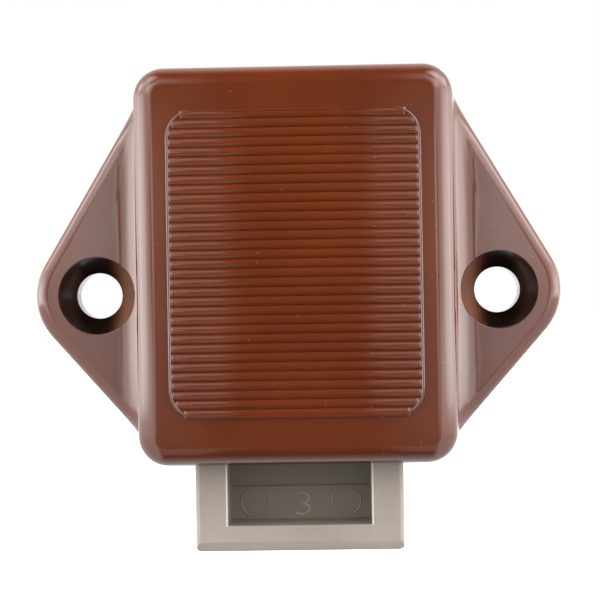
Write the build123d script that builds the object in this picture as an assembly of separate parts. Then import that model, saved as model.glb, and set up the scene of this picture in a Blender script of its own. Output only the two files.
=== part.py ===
from build123d import *
from math import cos, pi, radians, sin, tan
import os

# Push-button lock for a cabinet door, in millimetres.
# X runs to the right as seen from inside the cabinet, Z points up, Y points through the door to the button.
# The origin is on the button's axis, midway between the screw holes, in the plane of the door's inner face.

# Case
case_width = 31.5
case_top = 21.8
case_bottom = -16.9
case_depth = 13.5
case_corner = 4.0
case_edge = 1.8
draft = 6.0
wall = 1.6
back_wall = 1.7
slide_gap = 0.2
fit_gap = 0.02
spare = 1.0
touch = 0.05

# Ears and their screw holes
ear_thickness = 4.2
ear_tip_radius = 6.0
ear_upper_angle = 30.7
ear_lower_angle = 41.4
ear_rim = 1.2
ear_cove = 1.2
ear_root = 1.6
hole_offset = 3.5
screw_hole = 4.4
screw_head = 7.4
screw_head_step = 0.4

# Reeded panel on the case's face
panel_width = 23.05
panel_height = 27.85
panel_centre_z = 2.6
panel_corner = 2.5
panel_rim = 0.3
panel_rim_height = 0.2
panel_rim_edge = 0.1
reed_count = 33
reed_height = 0.25
reed_radius = 0.5

# Base plate, barrel and rosette on the door side
plate_thickness = 1.2
plate_ledge = 1.0
plate_gap = 0.1
plate_corner = 2.9
door_thickness = 15.0
barrel_outer = 18.0
barrel_bore = 14.4
barrel_neck_wall = 0.8
barrel_chamfer = 0.6
barrel_length = 12.0
rosette_outer = 27.0
rosette_thickness = 3.2
rosette_sleeve = 20.0
rosette_sleeve_start = 4.0
rosette_bevel = 1.0
washer_thickness = 0.8
washer_inset = 0.5
button_outer = 16.0
button_gap = 0.2
button_proud = 0.2
button_wall = 1.6
button_face_wall = 2.2
button_hub_length = 3.0
button_bevel = 0.8
plate_screw = 2.2
plate_screw_head = 4.0
plate_screw_length = 7.0
plate_screw_point = 1.2
plate_screw_slot = 0.5
post_size = 4.0

# Bolt
bolt_width = 19.4
bolt_front = 4.5
bolt_reach = 7.1
bolt_rail = 3.0
bolt_tip_rail = 2.4
bolt_tip_chamfer = 0.9
bolt_tip_depth = 0.45
bolt_tip_corner = 0.5
pocket_depth = 5.0
pocket_step = 0.4
pocket_step_height = 3.1
pocket_length = 7.9
ejector_mark = 2.7
ejector_mark_x = 4.4
ejector_mark_height = 1.6
ejector_mark_depth = 0.1
crossbar = 3.0
lug_start = 1.6
guide_inset = 0.3
guide_width = 1.2

# Drive: the button's travel, the bolt's travel, and the pin in the plunger's slanted slot
button_travel = 6.0
bolt_travel = 7.0
pin_diameter = 2.0
pin_length = 15.0
slot_clearance = 0.15
plunger_width = 8.0
plunger_cover = 0.95
plunger_end_wall = 0.76
plunger_end_gap = 0.29
plunger_edge = 0.6
collar_outer = 14.0
collar_thickness = 3.0
stem_diameter = 6.0
stem_foot_y = 0.5
stem_end_gap = 0.6
stem_chamfer = 0.4
collar_y = 2.0

# Springs
spring_outer = 3.2
spring_wire = 0.45
spring_turns = 8
spring_steps = 10
spring_end_gap = 0.05
spigot = 1.9
spigot_length = 1.8

# Detent: a bent wire that follows a heart-shaped track in the bolt
wire = 0.8
wire_x = 7.0
wire_tip_z = 7.0
wire_reach = 10.0
wire_stand_off = 1.2
wire_seat = 0.5
wire_bend = 0.64
track_width = 4.2
track_depth = 1.2
heart_width = 1.9
heart_notch = 0.5
heart_shoulder = 1.8
heart_point = 0.5
boss_outer = 3.0
boss_height = 1.1
leaf_width = 2.0
leaf_thickness = 0.25
leaf_gap = 0.05
leaf_length = 6.0

os.makedirs("parts", exist_ok=True)

# Places that follow from the sizes above
case_height = case_top - case_bottom
case_middle = (case_top + case_bottom) / 2
face_y = -case_depth
inner_face_y = face_y + back_wall
plate_inner_y = -plate_thickness
barrel_neck = barrel_bore + 2 * barrel_neck_wall
washer_outer = rosette_outer - 2 * washer_inset
ear_face_y = -ear_thickness
hole_x = case_width / 2 + hole_offset
bolt_front_y = face_y + bolt_front
bolt_back_y = plate_inner_y - slide_gap
bolt_tip_z = case_bottom - bolt_reach
bolt_half = bolt_width / 2
pin_z = -bolt_travel / 2
slot_radius = pin_diameter / 2 + slot_clearance
plunger_half_height = -pin_z + slot_radius + plunger_cover
plunger_front_y = inner_face_y + plunger_end_gap
pin_end_y = plunger_front_y + plunger_end_wall + slot_radius
pin_y = pin_end_y + button_travel
window_half = plunger_width / 2 + slide_gap
window_top = plunger_half_height + slide_gap
window_bottom = -plunger_half_height - bolt_travel - slide_gap
bolt_top_z = window_top + crossbar
rosette_back_y = door_thickness + washer_thickness
rosette_front_y = rosette_back_y + rosette_thickness
button_face_y = rosette_front_y + button_proud
stem_end_y = button_face_y - button_face_wall - stem_end_gap
guide_x = bolt_half - guide_inset
post_inner_x = bolt_half + slide_gap
spring_x = post_inner_x + spring_outer / 2
post_x = post_inner_x + post_size / 2
post_top_z = bolt_top_z + bolt_travel + 2 * slide_gap
upper_screw_z = post_top_z + post_size / 2
lower_post_z = case_bottom + wall + post_size
lower_screw_z = lower_post_z - post_size / 2
spring_y = (bolt_front_y + bolt_back_y) / 2
wire_y = bolt_front_y - wire_stand_off
wire_pivot_z = wire_tip_z + wire_reach


def slab(outline, y_door, y_face):
    """A flat outline in X and Z, carried from y_door towards the viewer to y_face."""
    return extrude(Plane.XZ.offset(-y_door) * outline, y_door - y_face)


def block(x0, x1, y0, y1, z0, z1):
    """A box between two corners."""
    return Pos((x0 + x1) / 2, (y0 + y1) / 2, (z0 + z1) / 2) * Box(x1 - x0, y1 - y0, z1 - z0)


def rod_y(radius, y0, y1, x=0.0, z=0.0):
    """A round rod along Y."""
    return Pos(x, (y0 + y1) / 2, z) * Rot(90, 0, 0) * Cylinder(radius, y1 - y0)


def rod_z(radius, z0, z1, x, y):
    """A round rod along Z."""
    return Pos(x, y, (z0 + z1) / 2) * Cylinder(radius, z1 - z0)


def turned(points):
    """A turned part on the button's axis, from its section as (radius, y) points."""
    section = Plane.XY * make_face(Polyline(*[(r, y) for r, y in points], close=True))
    return revolve(section, Axis.Y)


def case_outline(inset, corner):
    """The case's rounded outline, drawn in by an inset."""
    size = RectangleRounded(case_width - 2 * inset, case_height - 2 * inset, corner)
    return Pos(0, case_middle) * size


def ear_outline(side):
    """One ear: a tip round the screw hole, whose two straight edges run back into the case."""
    up = radians(ear_upper_angle)
    low = radians(ear_lower_angle)
    root_x = case_width / 2 - ear_root
    top = (hole_x + ear_tip_radius * cos(up), ear_tip_radius * sin(up))
    bottom = (hole_x + ear_tip_radius * cos(low), -ear_tip_radius * sin(low))
    tip = (hole_x + ear_tip_radius, 0)
    root_top = (root_x, top[1] + (top[0] - root_x) / tan(up))
    root_bottom = (root_x, bottom[1] - (bottom[0] - root_x) / tan(low))
    edges = [
        Line(root_top, top),
        ThreePointArc(top, tip, bottom),
        Line(bottom, root_bottom),
        Line(root_bottom, root_top),
    ]
    face = make_face(edges)
    return face if side > 0 else mirror(face, Plane.YZ)


def make_ear(side):
    """An ear with its rounded rim."""
    ear = slab(ear_outline(side), 0, ear_face_y)
    rim = [
        edge
        for edge in ear.edges()
        if abs(edge.center().Y - ear_face_y) < touch and side * edge.center().X > case_width / 2 - ear_root / 2
    ]
    return fillet(rim, ear_rim)


def panel_outline(inset):
    """The reeded panel's rounded outline, drawn in by an inset."""
    size = RectangleRounded(panel_width - 2 * inset, panel_height - 2 * inset, panel_corner - inset)
    return Pos(0, panel_centre_z) * size


def make_reeds():
    """The raised panel: round reeds side by side, inside a thin rim that closes their ends."""
    pitch = panel_height / reed_count
    valley = reed_radius - (reed_radius**2 - (pitch / 2) ** 2) ** 0.5
    crest_y = face_y - reed_height
    valley_y = crest_y + valley
    first_z = panel_centre_z - panel_height / 2
    root_y = face_y + reed_height
    edges = [Line((root_y, first_z), (valley_y, first_z))]
    for n in range(reed_count):
        z = first_z + n * pitch
        edges.append(
            ThreePointArc((valley_y, z), (crest_y, z + pitch / 2), (valley_y, z + pitch))
        )
    last_z = first_z + panel_height
    edges.append(Line((valley_y, last_z), (root_y, last_z)))
    edges.append(Line((root_y, last_z), (root_y, first_z)))
    section = Plane.YZ.offset(-panel_width / 2) * make_face(edges)
    reeds = extrude(section, panel_width) & slab(panel_outline(panel_rim / 2), root_y, crest_y - spare)
    rim_y = face_y - panel_rim_height
    rim = slab(panel_outline(0), root_y, rim_y)
    rim = chamfer([edge for edge in rim.edges() if abs(edge.center().Y - rim_y) < touch], panel_rim_edge)
    return reeds + (rim - slab(panel_outline(panel_rim), root_y + spare, rim_y - spare))


def make_case():
    """The moulded case: drafted box, ears, reeds, posts, bolt guides and bolt slot."""
    body = extrude(Plane.XZ * case_outline(0, case_corner), case_depth, taper=draft)
    front = [edge for edge in body.edges() if edge.center().Y < face_y + touch]
    body = fillet(front, case_edge)
    case = body + make_ear(1) + make_ear(-1)
    side_x = case_width / 2 - ear_thickness * tan(radians(draft))
    seams = [
        edge
        for edge in case.edges()
        if abs(edge.center().Y - ear_face_y) < touch
        and abs(abs(edge.center().X) - side_x) < 2 * touch
        and edge.length > case_height / 2
    ]
    case = fillet(seams, ear_cove)

    inner = Plane.XZ * case_outline(wall, case_corner - wall / 2)
    cavity = extrude(inner, case_depth - back_wall, taper=draft)
    for side in (1, -1):
        near = side * post_inner_x
        far = side * case_width / 2
        x0, x1 = min(near, far), max(near, far)
        cavity -= block(x0, x1, inner_face_y, 0, post_top_z, case_top)
        cavity -= block(x0, x1, inner_face_y, 0, case_bottom, lower_post_z)
        guide = sorted((side * guide_x, side * (guide_x - guide_width)))
        cavity -= block(*guide, inner_face_y, bolt_front_y - slide_gap, case_bottom, window_top)
        cavity -= rod_z(spigot / 2, lower_post_z - spare, lower_post_z + spigot_length, side * spring_x, spring_y)
    cavity -= rod_y(boss_outer / 2, inner_face_y - spare, inner_face_y + boss_height, wire_x, wire_pivot_z)
    case -= cavity
    case -= slab(case_outline(plate_ledge, plate_corner + plate_gap), 0, plate_inner_y)
    case -= block(
        -bolt_half - slide_gap,
        bolt_half + slide_gap,
        bolt_front_y - slide_gap,
        spare,
        case_bottom - spare,
        case_bottom + wall + 2 * spare,
    )
    for side in (1, -1):
        x = side * hole_x
        case -= rod_y(screw_hole / 2, ear_face_y - spare, spare, x)
        case -= rod_y(screw_head / 2, ear_face_y - spare, ear_face_y + screw_head_step, x)
        cone_depth = (screw_head - screw_hole) / 2
        cone_y = ear_face_y + screw_head_step + cone_depth / 2
        cone = Rot(90, 0, 0) * Cone(screw_hole / 2, screw_head / 2, cone_depth)
        case -= Pos(x, cone_y, 0) * cone
        for z in (upper_screw_z, lower_screw_z):
            pilot = plate_screw / 2 + fit_gap
            case -= rod_y(pilot, -plate_screw_length - fit_gap, 0, side * post_x, z)
    case -= rod_y(wire / 2 + fit_gap, inner_face_y - wire_seat - fit_gap, 0, wire_x, wire_pivot_z)
    return case + make_reeds()


def make_base_plate():
    """The steel plate that closes the case, with the barrel's hole and four screw holes."""
    plate = slab(case_outline(plate_ledge + plate_gap, plate_corner), 0, plate_inner_y)
    plate -= rod_y(barrel_neck / 2 + fit_gap, plate_inner_y - spare, spare)
    for side in (1, -1):
        for z in (upper_screw_z, lower_screw_z):
            plate -= Pos(side * post_x, 0, z) * plate_screw_shape(fit_gap)
    return plate


def plate_screw_shape(grow):
    """A countersunk screw along Y with its head flush at y = 0, grown by a clearance."""
    head = (plate_screw_head - plate_screw) / 2
    r = plate_screw / 2 + grow
    big = plate_screw_head / 2 + grow
    return turned([(0, grow), (big, grow), (big, 0), (r, -head), (r, -plate_screw_length), (0, -plate_screw_length)])


def make_plate_screws():
    """Four countersunk screws with a cross slot in each head."""
    screws = []
    shape = turned(
        [
            (0, 0),
            (plate_screw_head / 2, 0),
            (plate_screw / 2, -(plate_screw_head - plate_screw) / 2),
            (plate_screw / 2, -plate_screw_length + plate_screw_point),
            (0, -plate_screw_length + fit_gap),
        ]
    )
    arm = plate_screw_head * 0.3
    half_slot = plate_screw_slot / 2
    for turn in (0, 90):
        shape -= Rot(0, turn, 0) * block(-arm, arm, -arm / 2, spare, -half_slot, half_slot)
    for side in (1, -1):
        for z in (upper_screw_z, lower_screw_z):
            screws.append(Pos(side * post_x, 0, z) * shape)
    return Compound(screws)


def make_barrel():
    """The barrel: a tube with a thinner neck swaged into the base plate."""
    return turned(
        [
            (barrel_bore / 2, plate_inner_y),
            (barrel_neck / 2, plate_inner_y),
            (barrel_neck / 2, 0),
            (barrel_outer / 2, 0),
            (barrel_outer / 2, barrel_length - barrel_chamfer),
            (barrel_outer / 2 - barrel_chamfer, barrel_length),
            (barrel_bore / 2, barrel_length),
        ]
    )


def make_rosette():
    """The ring nut outside the door: a sleeve on the barrel, and a flange round the button."""
    bore = button_outer / 2 + button_gap
    thread = barrel_outer / 2 + fit_gap
    shoulder_y = barrel_length + button_gap
    ring = turned(
        [
            (thread, rosette_sleeve_start),
            (rosette_sleeve / 2, rosette_sleeve_start),
            (rosette_sleeve / 2, rosette_back_y),
            (rosette_outer / 2, rosette_back_y),
            (rosette_outer / 2, rosette_front_y),
            (bore, rosette_front_y),
            (bore, shoulder_y),
            (thread, shoulder_y),
        ]
    )
    rim = [
        edge
        for edge in ring.edges()
        if abs(edge.center().Y - rosette_front_y) < touch and edge.length > pi * (rosette_outer - touch)
    ]
    return chamfer(rim, rosette_bevel)


def make_washer():
    """The soft washer between the rosette's flange and the door."""
    inner = rosette_sleeve / 2 + button_gap
    washer = rod_y(washer_outer / 2, door_thickness, rosette_back_y)
    return washer - rod_y(inner, door_thickness - spare, rosette_back_y + spare)


def heart(grow):
    """The heart-shaped island of the detent track: point down, notch at its top."""
    half = heart_width / 2 + grow
    top = wire_tip_z - wire / 2 - slide_gap
    low = wire_tip_z - bolt_travel + wire + 2 * slide_gap
    points = [
        (wire_x, top - heart_notch),
        (wire_x + half, top + slide_gap / 2),
        (wire_x + half, top - heart_shoulder),
        (wire_x + heart_point / 2, low),
        (wire_x - heart_point / 2, low),
        (wire_x - half, top - heart_shoulder),
        (wire_x - half, top + slide_gap / 2),
    ]
    return make_face(Polyline(*points, close=True))


def make_bolt():
    """The bolt: two rails, a pocket towards the viewer, a window for the plunger, spring lugs."""
    body = block(-bolt_half, bolt_half, bolt_front_y, bolt_back_y, bolt_tip_z, bolt_top_z)
    tip = [
        edge
        for edge in body.edges()
        if abs(edge.center().Z - bolt_tip_z) < touch and edge.center().Y < bolt_front_y + touch
    ]
    body = chamfer(tip, bolt_tip_chamfer, bolt_tip_depth)
    corners = [edge for edge in body.edges().filter_by(Axis.Y) if edge.center().Z < bolt_tip_z + spare]
    body = fillet(corners, bolt_tip_corner)
    lug = spring_x + spring_outer / 2
    body += block(-lug, lug, bolt_front_y + lug_start, bolt_back_y, window_top, bolt_top_z)
    body -= block(-window_half, window_half, bolt_front_y - spare, 0, window_bottom, window_top)

    pocket_half = bolt_half - bolt_rail
    pocket_low = bolt_tip_z + bolt_tip_rail
    pocket_y = bolt_front_y + pocket_depth
    step_z = pocket_low + pocket_step_height
    pocket_top = pocket_low + pocket_length
    body -= block(-pocket_half, pocket_half, bolt_front_y - spare, pocket_y, pocket_low, pocket_top)
    body -= block(-pocket_half, pocket_half, pocket_y - spare, pocket_y + pocket_step, step_z, pocket_top)
    for side in (1, -1):
        mark_z = pocket_low + ejector_mark_height
        x = side * ejector_mark_x
        body -= rod_y(ejector_mark / 2, pocket_y - spare, pocket_y + ejector_mark_depth, x, mark_z)
        body += rod_z(spigot / 2, window_top - spigot_length, window_top + spare, side * spring_x, spring_y)

    track_top = bolt_top_z + spare
    track_low = wire_tip_z - bolt_travel - wire
    half = track_width / 2
    track_y = bolt_front_y + track_depth
    track = block(wire_x - half, wire_x + half, bolt_front_y - spare, track_y, track_low, track_top)
    track -= slab(heart(0), 0, face_y)
    body -= track
    bore = Pos(-bolt_half, pin_y, pin_z) * Rot(0, 90, 0)
    depth = bolt_half + pin_length / 2 + fit_gap
    return body - bore * Pos(0, 0, depth / 2) * Cylinder(pin_diameter / 2 + fit_gap, depth)


def make_drive_pin():
    """The cross pin that the plunger's slot pushes."""
    return Pos(0, pin_y, pin_z) * Rot(0, 90, 0) * Cylinder(pin_diameter / 2, pin_length)


def make_plunger():
    """The plunger: a block with a slanted slot for the drive pin, and a round collar in the barrel."""
    half = plunger_width / 2
    high = plunger_half_height
    body = block(-half, half, plunger_front_y, collar_y, -high, high)
    corners = body.edges().filter_by(Axis.Y)
    body = fillet(corners, plunger_edge)
    body += rod_y(collar_outer / 2, collar_y, collar_y + collar_thickness)
    ends = [(pin_y, pin_z), (pin_end_y, -pin_z)]
    length = (button_travel**2 + bolt_travel**2) ** 0.5
    middle = ((ends[0][0] + ends[1][0]) / 2, (ends[0][1] + ends[1][1]) / 2)
    slant = SlotCenterToCenter(length, 2 * slot_radius)
    angle = Vector(ends[1][0] - ends[0][0], ends[1][1] - ends[0][1]).get_signed_angle(Vector(1, 0))
    slot = Pos(*middle) * Rot(0, 0, angle) * slant
    body -= extrude(Plane.YZ.offset(-plunger_width) * slot, 2 * plunger_width)
    return body - rod_y(stem_diameter / 2 + fit_gap, stem_foot_y, collar_y + collar_thickness + spare)


def make_stem():
    """The steel stem, seated in the plunger and in the button's hub."""
    stem = rod_y(stem_diameter / 2, stem_foot_y, stem_end_y)
    return chamfer(stem.edges().filter_by(GeomType.CIRCLE), stem_chamfer)


def make_button():
    """The button: a shallow cup with a hub on the stem."""
    r = button_outer / 2
    y0 = barrel_length + 2 * button_gap
    y1 = button_face_y
    hub = stem_diameter / 2 + button_wall
    bore = stem_diameter / 2 + fit_gap
    hub_start = y0 - button_hub_length
    floor_y = y1 - button_face_wall
    body = turned(
        [
            (0, stem_end_y),
            (bore, stem_end_y),
            (bore, hub_start),
            (hub, hub_start),
            (hub, floor_y),
            (r - button_wall, floor_y),
            (r - button_wall, y0),
            (r, y0),
            (r, y1),
            (0, y1),
        ]
    )
    rim = [
        edge
        for edge in body.edges()
        if abs(edge.center().Y - y1) < touch and edge.length > 2 * pi * (r - touch)
    ]
    return chamfer(rim, button_bevel)


def make_spring(side):
    """A compression spring between the case's lower post and the bolt's lug."""
    low = lower_post_z + spring_end_gap + spring_wire / 2
    high = window_top - spring_end_gap - spring_wire / 2
    radius = (spring_outer - spring_wire) / 2
    count = spring_turns * spring_steps
    turns = [2 * pi * n / spring_steps for n in range(count + 1)]
    rise = (high - low) / count
    path = Polyline(*[(radius * cos(t), radius * sin(t), n * rise) for n, t in enumerate(turns)])
    section = Plane(origin=path @ 0, z_dir=path % 0) * RegularPolygon(spring_wire / 2, 6)
    coil = sweep(section, path=path, transition=Transition.RIGHT)
    return Pos(side * spring_x, spring_y, low) * coil


def make_wire():
    """The detent wire: a leg in the case's boss, an arm, and a tip in the bolt's track."""
    start = inner_face_y - wire_seat
    tip = bolt_front_y + track_depth - slide_gap
    points = [
        (wire_x, start, wire_pivot_z),
        (wire_x, wire_y, wire_pivot_z),
        (wire_x, wire_y, wire_tip_z),
        (wire_x, tip, wire_tip_z),
    ]
    path = FilletPolyline(*points, radius=wire_bend)
    section = Plane(origin=path @ 0, z_dir=path % 0) * Circle(wire / 2)
    return sweep(section, path=path)


def make_leaf():
    """The leaf spring behind the wire, bowed so that it presses the arm towards the bolt."""
    seat_y = inner_face_y + leaf_gap
    crown_y = wire_y - wire / 2 - leaf_thickness - leaf_gap
    places = [
        (seat_y, wire_tip_z + leaf_length / 6),
        (crown_y, wire_tip_z + leaf_length * 2 / 3),
        (seat_y, wire_tip_z + leaf_length * 7 / 6),
    ]
    near = [(y + leaf_thickness, z) for y, z in places]
    edges = [
        ThreePointArc(*places),
        Line(places[-1], near[-1]),
        ThreePointArc(*reversed(near)),
        Line(near[0], places[0]),
    ]
    section = Plane.YZ.offset(wire_x - leaf_width / 2) * make_face(edges)
    return extrude(section, leaf_width)


parts = {
    "case_shell": make_case(),
    "base_plate": make_base_plate(),
    "base_plate_screws": make_plate_screws(),
    "threaded_barrel": make_barrel(),
    "rosette": make_rosette(),
    "rosette_washer": make_washer(),
    "latch_bolt": make_bolt(),
    "drive_pin": make_drive_pin(),
    "plunger": make_plunger(),
    "button_stem": make_stem(),
    "push_button": make_button(),
    "bolt_spring_left": make_spring(-1),
    "bolt_spring_right": make_spring(1),
    "detent_wire": make_wire(),
    "detent_leaf_spring": make_leaf(),
}

for name, shape in parts.items():
    export_step(shape, f"parts/{name}.step")
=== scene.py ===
# %% [markdown]
# A push-button lock for a cabinet door, seen from inside the cabinet.
# The photograph looks straight at its brown moulded case. Below it stands the tip of a pale bolt.
# The frame holds the working parts at their real size.
# This lesson dresses them in finer surfaces and finishes.

# %% Load the fixed frame
import bmesh
import bpy
import numpy as np
from math import pi, radians, tan
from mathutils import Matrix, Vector


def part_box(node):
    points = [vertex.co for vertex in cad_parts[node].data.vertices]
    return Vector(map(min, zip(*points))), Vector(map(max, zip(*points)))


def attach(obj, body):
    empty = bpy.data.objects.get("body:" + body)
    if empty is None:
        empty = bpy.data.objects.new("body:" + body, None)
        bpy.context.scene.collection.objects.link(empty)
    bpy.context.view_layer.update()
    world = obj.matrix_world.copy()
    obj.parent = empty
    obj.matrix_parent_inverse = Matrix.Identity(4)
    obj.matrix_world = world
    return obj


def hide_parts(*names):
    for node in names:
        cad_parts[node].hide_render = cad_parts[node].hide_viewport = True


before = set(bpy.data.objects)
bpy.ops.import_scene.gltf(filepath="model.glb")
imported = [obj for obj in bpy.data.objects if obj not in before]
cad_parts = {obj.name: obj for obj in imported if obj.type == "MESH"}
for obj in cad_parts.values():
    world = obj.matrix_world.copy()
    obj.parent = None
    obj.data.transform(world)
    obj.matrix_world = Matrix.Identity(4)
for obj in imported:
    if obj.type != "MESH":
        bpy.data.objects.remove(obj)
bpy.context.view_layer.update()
MM = 0.001

# %% [markdown]
# Most new pieces are surfaces worked out as a grid of points, so that each radius is the one measured.
# One helper turns a grid into a mesh. It can join the grid's ends to make tubes, rings and closed skins.
# Angles sharper than a limit stay crisp, and all others are shaded smooth.

# %% Turn a grid of points into a piece
def grid_faces(rows, columns, wrap_rows, wrap_columns):
    """Four-cornered faces between neighbours of a rows by columns grid, counted row by row."""
    r = np.arange(rows if wrap_rows else rows - 1)
    c = np.arange(columns if wrap_columns else columns - 1)
    r, c = (a.ravel() for a in np.meshgrid(r, c, indexing="ij"))
    r2, c2 = (r + 1) % rows, (c + 1) % columns
    return np.stack([r * columns + c, r * columns + c2, r2 * columns + c2, r2 * columns + c], 1)


def piece_from(name, points, faces, material, body, crisp=35.0):
    """A mesh object from points in millimetres and faces. It rides on a body of the frame."""
    mesh = bpy.data.meshes.new(name)
    mesh.from_pydata((np.asarray(points, float) * MM).tolist(), [], [list(map(int, f)) for f in faces])
    mesh.validate()
    mesh.polygons.foreach_set("use_smooth", np.ones(len(mesh.polygons), bool))
    mesh.set_sharp_from_angle(angle=radians(crisp))
    mesh.materials.append(material)
    piece = bpy.data.objects.new(name, mesh)
    bpy.context.scene.collection.objects.link(piece)
    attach(piece, body)
    return piece


def face_outwards(piece):
    """Turns the faces of a closed mesh outwards, by the sign of the volume that they enclose."""
    mesh = piece.data
    mesh.calc_loop_triangles()
    place = np.empty(len(mesh.vertices) * 3)
    mesh.vertices.foreach_get("co", place)
    corner = np.empty(len(mesh.loop_triangles) * 3, int)
    mesh.loop_triangles.foreach_get("vertices", corner)
    a, b, c = place.reshape(-1, 3)[corner.reshape(-1, 3)].transpose(1, 0, 2)
    if np.einsum("ij,ij->", a, np.cross(b, c)) < 0:
        mesh.flip_normals()
    return piece


# %% [markdown]
# The photograph's colours are written as hex values, as a colour picker gives them.
# Blender's sockets want linear light, so one function converts them.
# One more adds a node and fills its inputs. Each material, lamp and backdrop below is built with it.

# %% Colours and nodes
def linear(hex_colour):
    """An sRGB hex colour as linear red, green, blue and a full alpha."""
    parts = [int(hex_colour[i : i + 2], 16) / 255 for i in (1, 3, 5)]
    return [c / 12.92 if c <= 0.04045 else ((c + 0.055) / 1.055) ** 2.4 for c in parts] + [1.0]


def new_material(name):
    """An empty node material with its node tree and its Principled shader."""
    material = bpy.data.materials.new(name)
    material.use_nodes = True
    tree = material.node_tree
    return material, tree, tree.nodes["Principled BSDF"]


def feed(tree, socket, source):
    """Fills a socket from a plain value, from another socket, or from a node by its first live output."""
    if isinstance(source, bpy.types.Node):
        source = next(output for output in source.outputs if output.enabled)
    if isinstance(source, bpy.types.NodeSocket):
        tree.links.new(source, socket)
    else:
        socket.default_value = source


def add(tree, kind, inputs=(), **settings):
    """Adds a node with its settings. Its inputs are a list in the sockets' order, or a dict by name."""
    made = tree.nodes.new(kind)
    for key, value in settings.items():
        setattr(made, key, value)
    for key, source in inputs.items() if isinstance(inputs, dict) else enumerate(inputs):
        feed(tree, made.inputs[key], source)
    return made


def soft_mask(tree, bands, strength=1.0):
    """A mask that reaches its strength where every band does: the product of their smooth steps.

    A band is a source and the two places, in millimetres, between which it goes from 0 to 1.
    """
    mask = strength
    for source, start, end in bands:
        ends = [start * MM, end * MM]
        step = add(tree, "ShaderNodeMapRange", [source, *ends], interpolation_type="SMOOTHSTEP")
        mask = add(tree, "ShaderNodeMath", [step, mask], operation="MULTIPLY")
    return mask


def lay_over(tree, colour, layers):
    """Lays other colours over the first, each by its own mask from 0 to 1."""
    for mask, shade in layers:
        mixed = {"Factor": mask, "A": colour, "B": linear(shade)}
        colour = add(tree, "ShaderNodeMix", mixed, data_type="RGBA")
    return colour


def mottled(tree, place, size_mm, detail, span, deep, light):
    """Soft patches of a size in millimetres: their pattern, and a colour that follows it, deep to light."""
    noise = {"Vector": place, "Scale": 1 / (size_mm * MM), "Detail": detail}
    pattern = add(tree, "ShaderNodeTexNoise", noise)
    tint = add(tree, "ShaderNodeValToRGB", [pattern])
    for stop, position, shade in zip(tint.color_ramp.elements, span, (deep, light)):
        stop.position, stop.color = position, shade
    return pattern, tint


def moulded_skin(tree, shader, place, size_mm, strength, depth_mm):
    """A fine relief of a size in millimetres, which breaks up the reflections."""
    skin = add(tree, "ShaderNodeTexNoise", {"Vector": place, "Scale": 1 / (size_mm * MM), "Detail": 2.0})
    bump = add(tree, "ShaderNodeBump", {"Strength": strength, "Distance": depth_mm * MM, "Height": skin})
    feed(tree, shader.inputs["Normal"], bump)


# %% [markdown]
# The case is injection-moulded ABS: glossy and warm brown. The reeds keep more of the mould's polish than
# the case round them, so they are less rough. Their brown is painted a little lighter than the case's, as
# painted light for what their flanks catch from above and below. One recipe serves both, with two close
# colours and two roughnesses.
# The colour barely changes, so a soft large-scale noise shifts it by a few percent.
# A bump of about half a millimetre breaks up the reflections, as flow marks do on thin mouldings.
# The outer side of each countersink is painted near black as painted shade, and the side by the case is
# painted paler as a painted highlight. A few specks of dust lie all over. Each of the three is a mask that
# lays its colour over the brown.

# %% Moulded brown ABS
ABS_BROWN, ABS_BROWN_DEEP = "#662e14", "#602a12"
# Painted light: the reeds' brown is a lighter copy of the case's brown.
LIT_REED_BROWN, LIT_REED_BROWN_DEEP = "#6b3015", "#652c13"
# Painted shade on the countersinks' outer side, and a painted highlight on their side by the case.
SINK_SHADE, SINK_SHADE_STRENGTH = "#0c0908", 0.96
SINK_HIGHLIGHT, SINK_HIGHLIGHT_STRENGTH = "#85604f", 0.75
DUST, DUST_STRENGTH, SPECK_MM, SPECK_SIZE = "#c9b3a2", 0.22, 1.4, 0.06
FLOW_MM = 9.0
ORANGE_PEEL_MM = 0.55
HOLE_X, HEAD_R = 19.25, 3.7
HEAD_EDGE = 0.03
SINK_FROM_Y, SINK_TO_Y = -0.8, -2.2
SINK_SHADE_FROM_X, SINK_SHADE_TO_X = 16.4, 18.6


def countersink_masks(tree, place):
    """Two masks of the countersinks: painted shade on their outer side, and a painted highlight on their side
    by the case.
    """
    split = add(tree, "ShaderNodeSeparateXYZ", [place]).outputs
    across = add(tree, "ShaderNodeMath", [split["X"]], operation="ABSOLUTE")
    from_hole = add(tree, "ShaderNodeMath", [across, HOLE_X * MM], operation="SUBTRACT")
    flat = add(tree, "ShaderNodeCombineXYZ", [from_hole, split["Z"]])
    radius = add(tree, "ShaderNodeVectorMath", [flat], operation="LENGTH")
    sink = [(radius, HEAD_R + HEAD_EDGE, HEAD_R - HEAD_EDGE), (split["Y"], SINK_FROM_Y, SINK_TO_Y)]
    sink_shade = soft_mask(tree, sink + [(across, SINK_SHADE_FROM_X, SINK_SHADE_TO_X)], SINK_SHADE_STRENGTH)
    sink_highlight = soft_mask(tree, sink + [(across, SINK_SHADE_TO_X, SINK_SHADE_FROM_X)], SINK_HIGHLIGHT_STRENGTH)
    return sink_shade, sink_highlight


def dust_mask(tree, place):
    """A mask of round specks, one for each cell of a pattern, softer towards their edge."""
    specks = add(tree, "ShaderNodeTexVoronoi", {"Vector": place, "Scale": 1 / (SPECK_MM * MM)})
    step = [specks, SPECK_SIZE, SPECK_SIZE / 2, 0.0, DUST_STRENGTH]
    return add(tree, "ShaderNodeMapRange", step, interpolation_type="SMOOTHSTEP")


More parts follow.
